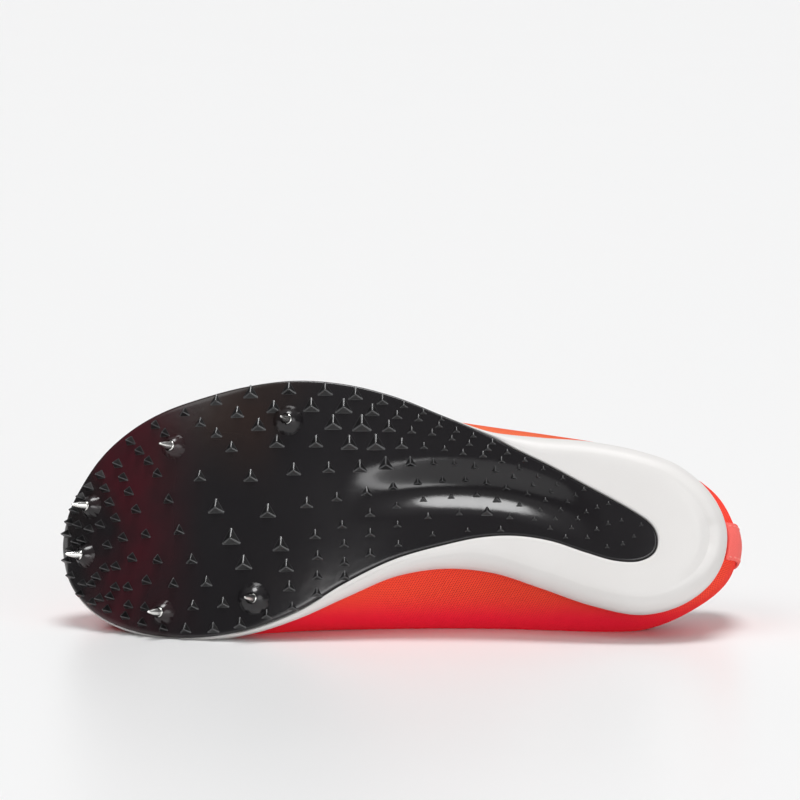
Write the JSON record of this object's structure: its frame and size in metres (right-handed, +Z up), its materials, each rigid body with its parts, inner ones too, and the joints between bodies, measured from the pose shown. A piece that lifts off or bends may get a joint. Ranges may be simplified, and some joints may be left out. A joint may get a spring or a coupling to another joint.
{
  "type": "track spike shoe",
  "caption": "Left track spike shoe lying on its inner side: knit upper, foam midsole, moulded spike plate with nubs and steel spikes, laces, tongue, insole and heel tab.",
  "frame": {"origin": "centre of the bounding box in X and Y, on the floor that the shoe lies on", "axes": "+X from toe to heel, -Y the way the sole faces, +Z up, from the inner side of the foot to the outer side"},
  "size_m": [0.2802, 0.103, 0.1043],
  "materials": {
    "plate": "moulded, half gloss",
    "foam": "smooth skinned foam",
    "knit": "engineered knit mesh",
    "insole": "brushed cloth over foam",
    "tongue": "thin padded mesh",
    "eyestay": "welded film",
    "laces": "flat woven",
    "webbing": "woven webbing",
    "steel": "plated steel"
  },
  "bodies": {
    "root": {"plate": "plate", "midsole": "foam", "upper": "knit", "insole": "insole", "tongue": "tongue", "eyestay": "eyestay", "laces": "laces", "heel_tab": "webbing", "spike_1": "steel", "spike_2": "steel", "spike_3": "steel", "spike_4": "steel", "spike_5": "steel", "spike_6": "steel"}
  },
  "joints": []
}
